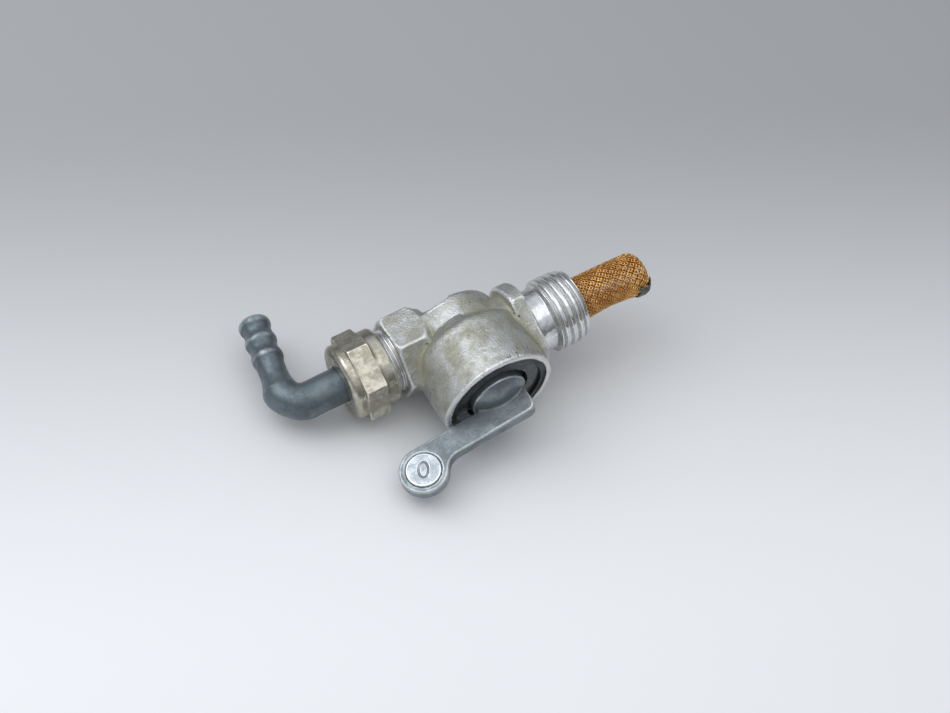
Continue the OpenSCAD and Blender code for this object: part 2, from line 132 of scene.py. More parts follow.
castSkin.links.new(pits, skinOut.inputs["Pits"])

# Settled dirt: gathers in hollows and drifts out over the surface in cloudy patches
settledDirt, dirtIn, dirtOut = makeGroup(
    "Settled dirt",
    [("Vector", "Vector", (0, 0, 0)), ("Hollow", "Float", 0), ("Patch size", "Float", 160),
     ("Amount", "Float", 0.5)],
    [("Mask", "Float")])
dirtClouds = noiseNode(settledDirt, dirtIn.outputs["Vector"], dirtIn.outputs["Patch size"], 5.0, 0.62, 0.4)
dirtSum = mathNode(settledDirt, "ADD",
                   mathNode(settledDirt, "MULTIPLY", dirtIn.outputs["Hollow"], 0.55), dirtClouds)
dirtCut = mathNode(settledDirt, "SUBTRACT", dirtSum,
                   mathNode(settledDirt, "SUBTRACT", 1.0, dirtIn.outputs["Amount"]))
settledDirt.links.new(rangeNode(settledDirt, dirtCut, -0.08, 0.30), dirtOut.inputs["Mask"])

# Rubbed edges: shows on raised edges, broken up so that no edge wears evenly
rubbedEdges, rubIn, rubOut = makeGroup(
    "Rubbed edges",
    [("Vector", "Vector", (0, 0, 0)), ("Ridge", "Float", 0), ("Break size", "Float", 500),
     ("Amount", "Float", 0.5)],
    [("Mask", "Float")])
rubBreaks = noiseNode(rubbedEdges, rubIn.outputs["Vector"], rubIn.outputs["Break size"], 4.0, 0.6)
rubSum = mathNode(rubbedEdges, "MULTIPLY", rubIn.outputs["Ridge"],
                  mathNode(rubbedEdges, "ADD", rubBreaks, 0.35))
rubCut = mathNode(rubbedEdges, "SUBTRACT", rubSum,
                  mathNode(rubbedEdges, "SUBTRACT", 1.0, rubIn.outputs["Amount"]))
rubbedEdges.links.new(rangeNode(rubbedEdges, rubCut, -0.20, 0.25), rubOut.inputs["Mask"])

# Mottle: two tones of one metal in soft clouds with a finer speckle over them
mottle, mottleIn, mottleOut = makeGroup(
    "Mottle",
    [("Vector", "Vector", (0, 0, 0)), ("Light", "Color", (0.6, 0.6, 0.6, 1)),
     ("Dark", "Color", (0.4, 0.4, 0.4, 1)), ("Cloud size", "Float", 220), ("Speckle size", "Float", 1500)],
    [("Color", "Color"), ("Mask", "Float")])
clouds = noiseNode(mottle, mottleIn.outputs["Vector"], mottleIn.outputs["Cloud size"], 4.0, 0.6, 0.3)
speckle = noiseNode(mottle, mottleIn.outputs["Vector"], mottleIn.outputs["Speckle size"], 2.0)
mottleSum = mathNode(mottle, "ADD", mathNode(mottle, "MULTIPLY", clouds, 0.7),
                     mathNode(mottle, "MULTIPLY", speckle, 0.3))
mottleMask = rangeNode(mottle, mottleSum, 0.38, 0.64)
mottle.links.new(mixColour(mottle, mottleMask, mottleIn.outputs["Light"], mottleIn.outputs["Dark"]),
                 mottleOut.inputs["Color"])
mottle.links.new(mottleMask, mottleOut.inputs["Mask"])


def useGroup(tree, group, vector, **values):
    node = tree.nodes.new("ShaderNodeGroup")
    node.node_tree = group
    tree.links.new(vector, node.inputs["Vector"])
    for label, value in values.items():
        socket = node.inputs[label.replace("_", " ")]
        if isinstance(value, tuple):
            socket.default_value = (*value, 1)
        elif isinstance(value, (int, float)):
            socket.default_value = value
        else:
            tree.links.new(value, socket)
    return node


def startMaterial(name, metallic, roughness):
    material = bpy.data.materials.new(name)
    material.use_nodes = True
    tree = material.node_tree
    shader = tree.nodes["Principled BSDF"]
    shader.inputs["Metallic"].default_value = metallic
    shader.inputs["Roughness"].default_value = roughness
    place = addNode(tree, "TexCoord").outputs["Object"]
    return material, tree, shader, place


def readMask(tree, name):
    node = addNode(tree, "Attribute", attribute_name=name)
    return node.outputs["Fac"]


def addBump(tree, shader, height, strength, distance):
    bump = addNode(tree, "Bump")
    bump.inputs["Strength"].default_value = strength
    bump.inputs["Distance"].default_value = distance * toMetres
    tree.links.new(height, bump.inputs["Height"])
    tree.links.new(bump.outputs["Normal"], shader.inputs["Normal"])


dirtRoughens = 0.15
rubSmooths = 0.12


def metalMaterial(name, looks):
    material, tree, shader, place = startMaterial(name, looks["metallic"], looks["roughness"])
    tones = useGroup(tree, mottle, place, Light=looks["light"], Dark=looks["dark"],
                     Cloud_size=looks["cloudSize"], Speckle_size=looks["speckleSize"])
    skin = useGroup(tree, castSkin, place, Grain_size=looks["grainSize"], Pit_size=looks["pitSize"],
                    Pit_share=looks["pitShare"])
    dirt = useGroup(tree, settledDirt, place, Hollow=readMask(tree, "hollow"), Patch_size=looks["dirtSize"],
                    Amount=looks["dirtAmount"])
    rub = useGroup(tree, rubbedEdges, place, Ridge=readMask(tree, "ridge"), Break_size=looks["rubSize"],
                   Amount=looks["rubAmount"])
    colour = mixColour(tree, mathNode(tree, "MULTIPLY", dirt.outputs["Mask"], looks["dirtStrength"]),
                       tones.outputs["Color"], looks["dirt"])
    colour = mixColour(tree, mathNode(tree, "MULTIPLY", skin.outputs["Pits"], looks["pitStrength"]),
                       colour, looks["pit"])
    colour = mixColour(tree, rub.outputs["Mask"], colour, looks["rubbed"])
    tree.links.new(colour, shader.inputs["Base Color"])
    rough = rangeNode(tree, tones.outputs["Mask"], 0, 1, looks["roughness"] - looks["roughSwing"],
                      looks["roughness"] + looks["roughSwing"])
    rough = mathNode(tree, "ADD", rough, mathNode(tree, "MULTIPLY", dirt.outputs["Mask"], dirtRoughens),
                     clamp=True)
    rough = mathNode(tree, "SUBTRACT", rough, mathNode(tree, "MULTIPLY", rub.outputs["Mask"], rubSmooths),
                     clamp=True)
    tree.links.new(rough, shader.inputs["Roughness"])
    if looks.get("dirtDull"):
        metal = rangeNode(tree, dirt.outputs["Mask"], 0, 1, looks["metallic"],
                          looks["metallic"] - looks["dirtDull"])
        tree.links.new(metal, shader.inputs["Metallic"])
    addBump(tree, shader, skin.outputs["Height"], looks["bump"], looks["bumpDepth"])
    return material


castLooks = {
    "metallic": 0.92, "roughness": 0.38, "roughSwing": 0.08, "light": (0.64, 0.65, 0.66),
    "dark": (0.41, 0.41, 0.35), "cloudSize": 300, "speckleSize": 2600, "grainSize": 3000, "pitSize": 1100,
    "pitShare": 0.27, "pitStrength": 0.8, "pit": (0.10, 0.09, 0.07), "dirt": (0.34, 0.33, 0.22),
    "dirtSize": 210, "dirtAmount": 0.52, "dirtStrength": 0.72, "dirtDull": 0.35,
    "rubbed": (0.80, 0.80, 0.80), "rubSize": 420, "rubAmount": 0.50, "bump": 0.75, "bumpDepth": 0.22}
turnedLooks = {
    **castLooks, "roughness": 0.24, "roughSwing": 0.05, "light": (0.76, 0.77, 0.79),
    "dark": (0.62, 0.63, 0.64), "pitShare": 0.12, "dirtAmount": 0.30, "dirtStrength": 0.5, "bump": 0.25,
    "bumpDepth": 0.05}
nutLooks = {
    "metallic": 0.95, "roughness": 0.30, "roughSwing": 0.08, "light": (0.56, 0.535, 0.46),
    "dark": (0.36, 0.335, 0.27), "cloudSize": 330, "speckleSize": 1500, "grainSize": 1900, "pitSize": 520,
    "pitShare": 0.30, "pitStrength": 0.5, "pit": (0.14, 0.12, 0.09), "dirt": (0.25, 0.22, 0.14),
    "dirtSize": 300, "dirtAmount": 0.42, "dirtStrength": 0.7, "dirtDull": 0.3, "rubbed": (0.78, 0.76, 0.68),
    "rubSize": 600, "rubAmount": 0.50, "bump": 0.45, "bumpDepth": 0.08}
elbowLooks = {
    "metallic": 0.55, "roughness": 0.42, "roughSwing": 0.06, "light": (0.150, 0.185, 0.205),
    "dark": (0.095, 0.120, 0.135), "cloudSize": 230, "speckleSize": 1400, "grainSize": 2400, "pitSize": 700,
    "pitShare": 0.22, "pitStrength": 0.4, "pit": (0.05, 0.06, 0.06), "dirt": (0.12, 0.13, 0.12),
    "dirtSize": 240, "dirtAmount": 0.36, "dirtStrength": 0.6, "dirtDull": 0.2, "rubbed": (0.42, 0.47, 0.50),
    "rubSize": 500, "rubAmount": 0.45, "bump": 0.25, "bumpDepth": 0.06}
leverLooks = {
    "metallic": 0.62, "roughness": 0.36, "roughSwing": 0.06, "light": (0.235, 0.27, 0.29),
    "dark": (0.165, 0.19, 0.205), "cloudSize": 300, "speckleSize": 1900, "grainSize": 2900, "pitSize": 800,
    "pitShare": 0.26, "pitStrength": 0.5, "pit": (0.07, 0.08, 0.08), "dirt": (0.13, 0.14, 0.13),
    "dirtSize": 260, "dirtAmount": 0.38, "dirtStrength": 0.55, "dirtDull": 0.2,
    "rubbed": (0.50, 0.54, 0.56), "rubSize": 450, "rubAmount": 0.42, "bump": 0.35, "bumpDepth": 0.07}
discLooks = {
    "metallic": 0.9, "roughness": 0.30, "roughSwing": 0.05, "light": (0.46, 0.50, 0.53),
    "dark": (0.31, 0.345, 0.37), "cloudSize": 420, "speckleSize": 2400, "grainSize": 3600, "pitSize": 900,
    "pitShare": 0.24, "pitStrength": 0.5, "pit": (0.12, 0.13, 0.14), "dirt": (0.16, 0.18, 0.19),
    "dirtSize": 380, "dirtAmount": 0.34, "dirtStrength": 0.8, "dirtDull": 0.3, "rubbed": (0.80, 0.83, 0.86),
    "rubSize": 700, "rubAmount": 0.6, "bump": 0.35, "bumpDepth": 0.06}
wireLooks = {
    "metallic": 0.97, "roughness": 0.24, "roughSwing": 0.05, "light": (0.84, 0.50, 0.17),
    "dark": (0.48, 0.22, 0.06), "cloudSize": 210, "speckleSize": 900, "grainSize": 2400, "pitSize": 600,
    "pitShare": 0.1, "pitStrength": 0.3, "pit": (0.12, 0.07, 0.03), "dirt": (0.46, 0.40, 0.31),
    "dirtSize": 230, "dirtAmount": 0.20, "dirtStrength": 0.5, "dirtDull": 0.5, "rubbed": (0.86, 0.60, 0.25),
    "rubSize": 600, "rubAmount": 0.3, "bump": 0.2, "bumpDepth": 0.04}
solderLooks = {
    "metallic": 0.7, "roughness": 0.45, "roughSwing": 0.1, "light": (0.15, 0.155, 0.13),
    "dark": (0.06, 0.065, 0.05), "cloudSize": 500, "speckleSize": 1800, "grainSize": 2200, "pitSize": 600,
    "pitShare": 0.35, "pitStrength": 0.6, "pit": (0.02, 0.02, 0.02), "dirt": (0.20, 0.12, 0.05),
    "dirtSize": 420, "dirtAmount": 0.35, "dirtStrength": 0.6, "dirtDull": 0.2, "rubbed": (0.34, 0.34, 0.30),
    "rubSize": 500, "rubAmount": 0.5, "bump": 0.6, "bumpDepth": 0.15}
plateLooks = {
    **elbowLooks, "metallic": 0.75, "roughness": 0.30, "light": (0.11, 0.12, 0.122),
    "dark": (0.055, 0.062, 0.064), "rubbed": (0.30, 0.32, 0.32), "bump": 0.2}
ringLooks = {
    **elbowLooks, "metallic": 0.8, "roughness": 0.38, "light": (0.06, 0.06, 0.06),
    "dark": (0.03, 0.03, 0.03), "dirt": (0.05, 0.04, 0.03), "bump": 0.2}
springLooks = {**plateLooks, "roughness": 0.28, "light": (0.30, 0.31, 0.33), "dark": (0.20, 0.21, 0.22)}
brassLooks = {
    **turnedLooks, "light": (0.68, 0.50, 0.22), "dark": (0.46, 0.32, 0.13), "dirt": (0.20, 0.14, 0.06)}
rubberLooks = {
    **elbowLooks, "metallic": 0.0, "roughness": 0.7, "light": (0.022, 0.022, 0.022),
    "dark": (0.012, 0.012, 0.012), "dirt": (0.03, 0.028, 0.024), "dirtDull": 0,
    "rubbed": (0.05, 0.05, 0.05)}
fibreLooks = {
    **rubberLooks, "roughness": 0.8, "light": (0.16, 0.08, 0.045), "dark": (0.09, 0.045, 0.025),
    "dirt": (0.06, 0.04, 0.03), "rubbed": (0.2, 0.12, 0.08)}

castAlloy = metalMaterial("castAlloy", castLooks)
turnedAlloy = metalMaterial("turnedAlloy", turnedLooks)
nutNickel = metalMaterial("nutNickel", nutLooks)
elbowZinc = metalMaterial("elbowZinc", elbowLooks)
leverZinc = metalMaterial("leverZinc", leverLooks)
groundDisc = metalMaterial("groundDisc", discLooks)
bronzeWire = metalMaterial("bronzeWire", wireLooks)
darkSolder = metalMaterial("darkSolder", solderLooks)
darkSteel = metalMaterial("darkSteel", plateLooks)
blackRing = metalMaterial("blackRing", ringLooks)
springSteel = metalMaterial("springSteel", springLooks)
ferruleBrass = metalMaterial("ferruleBrass", brassLooks)
sealRubber = metalMaterial("sealRubber", rubberLooks)
gasketFibre = metalMaterial("gasketFibre", fibreLooks)
print("materials ready")


# mesh helpers
def nodeInMillimetres(nodeName):
    bm = bmesh.new()
    bm.from_mesh(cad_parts[nodeName].data)
    bmesh.ops.scale(bm, vec=(1 / toMetres,) * 3, verts=bm.verts)
    bmesh.ops.remove_doubles(bm, verts=bm.verts, dist=0.0005)
    return bm


def newPiece(bm, name):
    mesh = bpy.data.meshes.new(name)
    bm.to_mesh(mesh)
    bm.free()
    piece = bpy.data.objects.new(name, mesh)
    bpy.context.scene.collection.objects.link(piece)
    return piece


def bakeModifiers(piece):
    graph = bpy.context.evaluated_depsgraph_get()
    finished = bpy.data.meshes.new_from_object(piece.evaluated_get(graph))
    piece.modifiers.clear()
    old, piece.data = piece.data, finished
    bpy.data.meshes.remove(old)
    piece.data.name = piece.name


def voxelSkin(piece, size):
    remesh = piece.modifiers.new("skin", "REMESH")
    remesh.mode = "VOXEL"
    remesh.voxel_size = size
    bakeModifiers(piece)


def readPoints(mesh):
    points = np.empty(len(mesh.vertices) * 3)
    mesh.vertices.foreach_get("co", points)
    return points.reshape(-1, 3)


def writePoints(mesh, points):
    mesh.vertices.foreach_set("co", points.ravel())
    mesh.update()


def readNormals(mesh):
    normals = np.empty(len(mesh.vertices) * 3, np.float32)
    mesh.vertex_normals.foreach_get("vector", normals)
    return normals.reshape(-1, 3).astype(float)


def neighbourMeans(mesh):
    edges = np.empty(len(mesh.edges) * 2, int)
    mesh.edges.foreach_get("vertices", edges)
    first, second = edges.reshape(-1, 2).T
    count = len(mesh.vertices)
    degree = np.bincount(first, minlength=count) + np.bincount(second, minlength=count)

    def means(points):
        sums = [np.bincount(first, points[second, k], count) + np.bincount(second, points[first, k], count)
                for k in range(3)]
        return np.stack(sums, 1) / degree[:, None]
    return means


def relax(piece, rounds, ridgeShare=1.0):
    mesh = piece.data
    means = neighbourMeans(mesh)
    points = readPoints(mesh)
    for _ in range(rounds):
        pull = means(points) - points
        hollow = np.einsum("ij,ij->i", pull, readNormals(mesh)) > 0
        points += 0.5 * pull * np.where(hollow, 1.0, ridgeShare)[:, None]
        writePoints(mesh, points)


def storeMasks(piece, rounds, depth):
    mesh = piece.data
    means = neighbourMeans(mesh)
    points = readPoints(mesh)
    smooth = points.copy()
    for _ in range(rounds):
        smooth += 0.6 * (means(smooth) - smooth)
    rise = np.einsum("ij,ij->i", smooth - points, readNormals(mesh)) / depth
    for name, values in (("hollow", np.clip(rise, 0, 1)), ("ridge", np.clip(-rise, 0, 1))):
        mesh.attributes.new(name, "FLOAT", "POINT").data.foreach_set("value", values.astype(np.float32))


def dent(piece, waves):
    mesh = piece.data
    points, normals = readPoints(mesh), readNormals(mesh)
    for size, depth, shift in waves:
        drift = np.array([noise.noise(Vector(p) / size + Vector((shift, 0, 0))) for p in points])
        points += normals * (depth * drift)[:, None]
    writePoints(mesh, points)


def dress(piece, body, material, slotName, *nodes):
    mesh = piece.data
    mesh.transform(Matrix.Scale(toMetres, 4))
    mesh.shade_smooth()
    mesh.materials.clear()
    mesh.materials.append(material)
    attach(piece, body)
    if nodes:
        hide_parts(*nodes)
    print(piece.name, "triangles", sum(len(p.vertices) - 2 for p in mesh.polygons))
    return piece


# die-cast body; masks holds smoothing rounds and the depth in mm that counts as a full hollow or ridge
bodyCast = {"voxel": 0.2, "filletRounds": 22, "ridgeShare": 0.12, "inletCut": -3.0, "outletCut": -27.7,
            "waves": [(4.5, 0.10, 3.1), (1.4, 0.035, 9.7)], "masks": (40, 0.22),
            "drumR": 10.85, "drumBack": 1.8, "bossR": 8.7, "bossBack": 7.5, "shankEnd": -22.6, "shankR": 8.1,
            "shankNeck": -19.6, "neckR": 6.4, "wallGap": 0.1}


def cutOff(bm, x, side):
    plane = bmesh.ops.bisect_plane(bm, geom=bm.verts[:] + bm.edges[:] + bm.faces[:], plane_co=(x, 0, 0),
                                   plane_no=(side, 0, 0), clear_outer=True)
    rim = [e for e in plane["geom_cut"] if isinstance(e, bmesh.types.BMEdge)]
    bmesh.ops.triangle_fill(bm, edges=rim, use_beauty=True, normal=(side, 0, 0))


def endShank(piece):
    # the hexagonal shank stops short of the boss, with a bevelled end and a round neck behind it
    points = readPoints(piece.data)
    wall = np.where(points[:, 1] < bodyCast["drumBack"], bodyCast["drumR"],
                    np.where(points[:, 1] < bodyCast["bossBack"], bodyCast["bossR"], 0))
    rho = np.hypot(points[:, 0] - drumX, points[:, 2])
    radius = np.hypot(points[:, 1] - outletY, points[:, 2])
    along = smoothStep(bodyCast["shankEnd"], bodyCast["shankNeck"], points[:, 0])
    limit = bodyCast["shankR"] + (bodyCast["neckR"] - bodyCast["shankR"]) * along
    inShank = (points[:, 0] > bodyCast["shankEnd"]) & (points[:, 0] < drumX)
    chosen = inShank & (rho > wall + bodyCast["wallGap"]) & (radius > limit)
    scale = np.where(chosen, limit / radius, 1)
    points[:, 1] = outletY + (points[:, 1] - outletY) * scale
    points[:, 2] *= scale
    rho = np.hypot(points[:, 0] - drumX, points[:, 2])
    push = np.where(chosen & (rho < wall), wall / np.maximum(rho, 0.1), 1)
    points[:, 0] = drumX + (points[:, 0] - drumX) * push
    points[:, 2] *= push
    writePoints(piece.data, points)


bm = nodeInMillimetres("tap_body")
cutOff(bm, bodyCast["inletCut"], 1)
cutOff(bm, bodyCast["outletCut"], -1)
bmesh.ops.recalc_face_normals(bm, faces=bm.faces)
castBody = newPiece(bm, "castBody")
voxelSkin(castBody, bodyCast["voxel"])
endShank(castBody)
relax(castBody, bodyCast["filletRounds"], bodyCast["ridgeShare"])
dent(castBody, bodyCast["waves"])
storeMasks(castBody, *bodyCast["masks"])
dress(castBody, "body", castAlloy, "cast_alloy", "tap_body")


# turned inlet and outlet stub
def turnedPiece(name, profile, axisPoint, steps, ringSpacing):
    bm = bmesh.new()
    points = []
    for (x0, r0), (x1, r1) in zip(profile, profile[1:] + profile[:1]):
        pieces = max(1, round(math.hypot(x1 - x0, r1 - r0) / ringSpacing))
        points += [(x0 + (x1 - x0) * i / pieces, r0 + (r1 - r0) * i / pieces) for i in range(pieces)]
    verts = [bm.verts.new((x, axisPoint.y, axisPoint.z + r)) for x, r in points]
    edges = [bm.edges.new((a, b)) for a, b in zip(verts, verts[1:] + verts[:1])]
    bmesh.ops.spin(bm, geom=verts + edges, cent=axisPoint, axis=inletAxis, angle=math.tau, steps=steps,
                   use_merge=True, use_duplicate=False)
    bmesh.ops.recalc_face_normals(bm, faces=bm.faces)
    return newPiece(bm, name)


def cutThread(piece, axisPoint, thread):
    mesh = piece.data
    points = readPoints(mesh)
    y, z = points[:, 1] - axisPoint.y, points[:, 2] - axisPoint.z
    radius, angle = np.hypot(y, z), np.arctan2(z, y)
    turn = np.mod(points[:, 0] / thread["pitch"] - angle / math.tau, 1)
    flank = 1 - np.abs(2 * turn - 1)
    groove = thread["depth"] * smoothStep(thread["crestShare"], 0.96, flank)
    runIn = smoothStep(thread["start"], thread["start"] + thread["runIn"], points[:, 0])
    runOut = 1 - smoothStep(thread["stop"] - 0.2, thread["stop"] + 0.6, points[:, 0])
    outside = smoothStep(thread["floorR"], thread["floorR"] + 0.3, radius)
    inward = groove * runIn * runOut * outside
    scale = np.where(radius > 0.01, (radius - inward) / np.maximum(radius, 0.01), 1)
    points[:, 1] = axisPoint.y + y * scale
    points[:, 2] = axisPoint.z + z * scale
    writePoints(mesh, points)


inlet = {"root": -3.2, "neckR": 5.95, "neckEnd": 0.3, "fillet": 0.3, "filletEnds": (-2.9, -2.6),
         "threadR": 7.0, "threadStart": 0.85, "taperStart": 5.0, "taper": [(6.0, 6.78), (6.9, 6.45)],
         "nose": 7.3, "noseR": 6.2, "edge": 0.15, "pocketR": 4.6, "pocketFloor": -0.7, "channelR": 1.75,
         "steps": 144, "spacing": 0.12,
         "waves": [(1.1, 0.05, 2.2), (0.45, 0.02, 5.0)], "masks": (8, 0.10)}
inletCut = {"depth": 0.62, "pitch": 1.5, "start": 0.3, "stop": inlet["nose"], "runIn": 0.5, "floorR": 5.7,
            "crestShare": 0.40}
inletAxisPoint = Vector((0, 0, 0))
inletProfile = [(inlet["root"], inlet["neckR"] + inlet["fillet"]),
                (inlet["filletEnds"][0], inlet["neckR"] + inlet["fillet"]),
                (inlet["filletEnds"][1], inlet["neckR"]),
                (inlet["neckEnd"], inlet["neckR"]), (inlet["threadStart"], inlet["threadR"]),
                (inlet["taperStart"], inlet["threadR"]), *inlet["taper"], (inlet["nose"], inlet["noseR"]),
                (inlet["nose"], inlet["pocketR"] + inlet["edge"]),
                (inlet["nose"] - inlet["edge"], inlet["pocketR"]),
                (inlet["pocketFloor"], inlet["pocketR"]), (inlet["pocketFloor"], inlet["channelR"]),
                (inlet["root"], inlet["channelR"])]
inletThread = turnedPiece("inletThread", inletProfile, inletAxisPoint, inlet["steps"], inlet["spacing"])
cutThread(inletThread, inletAxisPoint, inletCut)
dent(inletThread, inlet["waves"])
storeMasks(inletThread, *inlet["masks"])
dress(inletThread, "body", turnedAlloy, "cast_alloy")

stub = {"root": -27.6, "end": -32.425, "threadR": 5.9, "channelR": 1.75, "edge": 0.3, "steps": 128,
        "spacing": 0.09, "masks": (6, 0.06)}
stubCut = {"depth": 0.42, "pitch": 0.75, "start": stub["end"], "stop": stub["root"] - 0.5, "runIn": 0.4,
           "floorR": 5.0, "crestShare": 0.2}
stubAxisPoint = Vector((0, outletY, 0))
stubProfile = [(stub["root"], stub["threadR"]), (stub["end"] + stub["edge"], stub["threadR"]),
               (stub["end"], stub["threadR"] - stub["edge"]), (stub["end"], stub["channelR"]),
               (stub["root"], stub["channelR"])]
outletStub = turnedPiece("outletStub", stubProfile, stubAxisPoint, stub["steps"], stub["spacing"])
cutThread(outletStub, stubAxisPoint, stubCut)
storeMasks(outletStub, *stub["masks"])
dress(outletStub, "body", turnedAlloy, "cast_alloy")

# union nut, elbow and lever
nut = {"voxel": 0.12, "rounds": 2, "ridgeShare": 0.5, "waves": [(2.6, 0.04, 4.4), (0.9, 0.015, 1.3)],
       "masks": (30, 0.14), "turn": 2.5, "ends": (-38.2, -34.825, -30.725, -29.2),
       "seenEnds": (-38.2, -36.0, -31.9, -29.2)}
unionNut = newPiece(nodeInMillimetres("union_nut"), "unionNut")
nutTurn = Matrix.Rotation(math.radians(nut["turn"]), 4, "X")
unionNut.data.transform(Matrix.Translation(stubAxisPoint) @ nutTurn @ Matrix.Translation(-stubAxisPoint))
voxelSkin(unionNut, nut["voxel"])
points = readPoints(unionNut.data)
# the hexagon sits nearer the elbow, inside the nut's own length
points[:, 0] = np.interp(points[:, 0], nut["ends"], nut["seenEnds"])
writePoints(unionNut.data, points)
relax(unionNut, nut["rounds"], nut["ridgeShare"])
dent(unionNut, nut["waves"])
storeMasks(unionNut, *nut["masks"])
dress(unionNut, "body", nutNickel, "nut_nickel", "union_nut")

elbow = {"voxel": 0.2, "rounds": 14, "ridgeShare": 0.9, "waves": [(3.0, 0.06, 7.9), (1.0, 0.02, 2.8)],
         "masks": (40, 0.2), "bend": (-46.5, 5.8, 0), "bendOut": (-0.75, -0.66, 0), "tuck": 1.1,
         "tuckFrom": 1.0, "tuckTo": 5.0}
hoseElbow = newPiece(nodeInMillimetres("outlet_elbow"), "hoseElbow")
voxelSkin(hoseElbow, elbow["voxel"])
relax(hoseElbow, elbow["rounds"], elbow["ridgeShare"])
points = readPoints(hoseElbow.data)
# the outside of the bend is drawn in
outward = (points - np.array(elbow["bend"])) @ np.array(elbow["bendOut"])
drawnIn = elbow["tuck"] * smoothStep(elbow["tuckFrom"], elbow["tuckTo"], outward)
points -= np.outer(drawnIn, np.array(elbow["bendOut"]))
writePoints(hoseElbow.data, points)
dent(hoseElbow, elbow["waves"])
storeMasks(hoseElbow, *elbow["masks"])
dress(hoseElbow, "body", elbowZinc, "elbow_zinc", "outlet_elbow")

leverCast = {"voxel": 0.15, "rounds": 4, "ridgeShare": 0.7, "waves": [(2.8, 0.05, 5.5), (0.8, 0.015, 8.1)],
             "masks": (30, 0.12)}
paddleLever = newPiece(nodeInMillimetres("lever"), "paddleLever")
voxelSkin(paddleLever, leverCast["voxel"])
relax(paddleLever, leverCast["rounds"], leverCast["ridgeShare"])
dent(paddleLever, leverCast["waves"])
storeMasks(paddleLever, *leverCast["masks"])
dress(paddleLever, "lever", leverZinc, "lever_zinc", "lever")

# lever disc with an engraved ring mark
discShape = {"reach": 18.5, "middleY": -15.7, "turn": 8, "face": 0.6, "radius": 3.18, "depth": 0.8,
             "proud": 0.12, "edge": 0.06, "rim": 0.2, "backGap": 0.01, "rings": 34, "steps": 160,
             "masks": (8, 0.05)}
mark = {"halfWidth": 0.85, "halfHeight": 1.45, "strokeHalf": 0.2, "depth": 0.16, "turn": 62}
bm = bmesh.new()
faceR = discShape["radius"] - discShape["rim"]
discBack = -discShape["depth"] + discShape["backGap"]
outline = [(faceR * i / discShape["rings"], discShape["proud"]) for i in range(discShape["rings"] + 1)]
outline += [(discShape["radius"] - discShape["edge"], discShape["proud"] - discShape["edge"]),
            (discShape["radius"], 0), (discShape["radius"], discBack), (0, discBack)]
verts = [bm.verts.new((r, 0, z)) for r, z in outline]
edges = [bm.edges.new(pair) for pair in zip(verts, verts[1:])]
bmesh.ops.spin(bm, geom=verts + edges, cent=(0, 0, 0), axis=(0, 0, 1), angle=math.tau,
               steps=discShape["steps"], use_merge=True, use_duplicate=False)
bmesh.ops.remove_doubles(bm, verts=bm.verts, dist=0.002)
bmesh.ops.recalc_face_normals(bm, faces=bm.faces)
leverDisc = newPiece(bm, "leverDisc")
points = readPoints(leverDisc.data)
markTurn = math.radians(mark["turn"])
across = points[:, 0] * math.sin(markTurn) - points[:, 1] * math.cos(markTurn)
along = points[:, 0] * math.cos(markTurn) + points[:, 1] * math.sin(markTurn)
reach = np.hypot(across / mark["halfWidth"], along / mark["halfHeight"])
slope = np.hypot(across / mark["halfWidth"] ** 2, along / mark["halfHeight"] ** 2)
strokeGap = np.abs(reach - 1) * reach / np.maximum(slope, 0.1)
stroke = 1 - smoothStep(mark["strokeHalf"] * 0.5, mark["strokeHalf"] * 1.3, strokeGap)
points[:, 2] -= np.where(points[:, 2] > discShape["proud"] / 2, mark["depth"] * stroke, 0)
writePoints(leverDisc.data, points)
leverTurn = Matrix.Rotation(math.radians(-discShape["turn"]), 4, "Y")
onKnob = Matrix.Translation((-discShape["reach"], discShape["middleY"], discShape["face"]))
leverDisc.data.transform(Matrix.Translation((drumX, 0, 0)) @ leverTurn @ onKnob)
storeMasks(leverDisc, *discShape["masks"])
dress(leverDisc, "lever", groundDisc, "bright_disc", "lever_disc")

# woven gauze
gauze = {"start": 2.4, "domeStart": 20.3, "domeLength": 2.1, "radius": 3.95, "wireR": 0.145, "lift": 0.125,
         "wires": 32, "crossing": 0.58, "stepsPerCrossing": 3, "lastR": 0.9, "oddLastR": 2.2,
         "bendStart": 9.0, "bendLength": 13.4, "drop": 0.35, "belowY": -0.75, "belowZ": -0.65,
         "squeeze": 0.45, "squeezeAt": 13.5, "squeezeWidth": 4.5}


def gauzeBend(p):
    # the tube sags towards its free end and is squeezed a little on its lower side
    along = min(1.0, max(0.0, (p.x - gauze["bendStart"]) / gauze["bendLength"]))
    lower = max(0.0, p.y * gauze["belowY"] + p.z * gauze["belowZ"]) / gauze["radius"]
    waist = math.exp(-((p.x - gauze["squeezeAt"]) / gauze["squeezeWidth"]) ** 2)
    shift = gauze["drop"] * along * along - gauze["squeeze"] * waist * lower
    return Vector((p.x, p.y + gauze["belowY"] * shift, p.z + gauze["belowZ"] * shift))


def gauzeLine(family, index):
    line = []
    step = gauze["crossing"] / gauze["stepsPerCrossing"]
    lastR = gauze["oddLastR"] if index % 2 else gauze["lastR"]
    x, angle, walked = gauze["start"], math.tau * index / gauze["wires"], 0.0
    while True:
        into = max(0.0, (x - gauze["domeStart"]) / gauze["domeLength"])
        if into >= 1:
            break
        radius = gauze["radius"] * math.sqrt(1 - into * into)
        if radius < lastR:
            break
        r = radius + math.sin(math.pi * (walked / gauze["crossing"] + index)) * gauze["lift"] * family
        line.append(gauzeBend(Vector((x, r * math.cos(angle), r * math.sin(angle)))))
        steepness = gauze["domeLength"] * math.sqrt(max(1e-6, 1 - into * into))
        slopeR = gauze["radius"] * into / steepness
        meridian = step * math.sqrt(0.5)
        x += meridian / math.sqrt(1 + slopeR * slopeR)
        angle += family * meridian / gauze["radius"]
        walked += step
    return line


